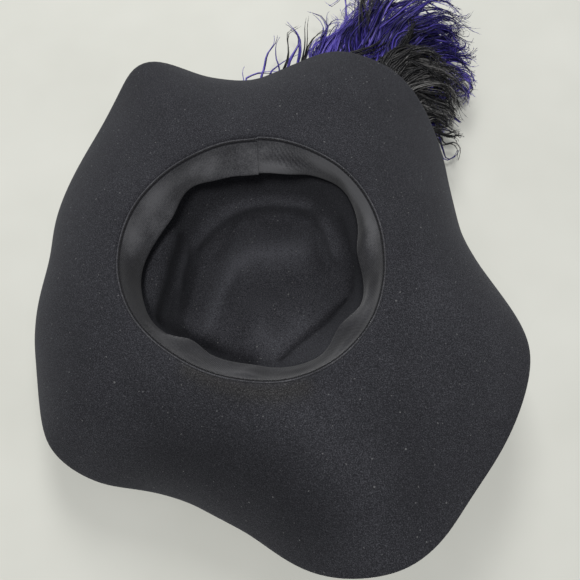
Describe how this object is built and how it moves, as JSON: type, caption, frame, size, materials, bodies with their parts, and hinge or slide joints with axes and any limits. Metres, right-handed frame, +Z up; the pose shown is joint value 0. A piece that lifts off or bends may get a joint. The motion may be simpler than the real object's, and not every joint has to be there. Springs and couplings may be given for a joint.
{
  "type": "cavalier hat",
  "caption": "Wide soft felt hat for the head, lying upside down on its dented crown: drooping folded brim, ribbon sweatband inside and ostrich plumes pinned to the crown.",
  "frame": {"origin": "middle of the flat of the crown's tip, on which the hat rests upside down", "axes": "+Z up out of the opening for the head, +Y towards the back of the hat, +X towards the wearer's right"},
  "size_m": [0.3952, 0.5073, 0.1161],
  "materials": {
    "felt": "soft black wool felt with a fine nap",
    "ribbon": "black ribbed grosgrain ribbon",
    "purple_feather": "dyed ostrich feather, violet-blue, soft sheen",
    "black_feather": "dyed ostrich feather, black with an olive sheen",
    "wire": "dark steel staple"
  },
  "bodies": {
    "root": {"felt_body": "felt", "sweatband": "ribbon", "plume_purple": "purple_feather", "plume_black": "black_feather", "plume_pin": "wire"}
  },
  "joints": []
}
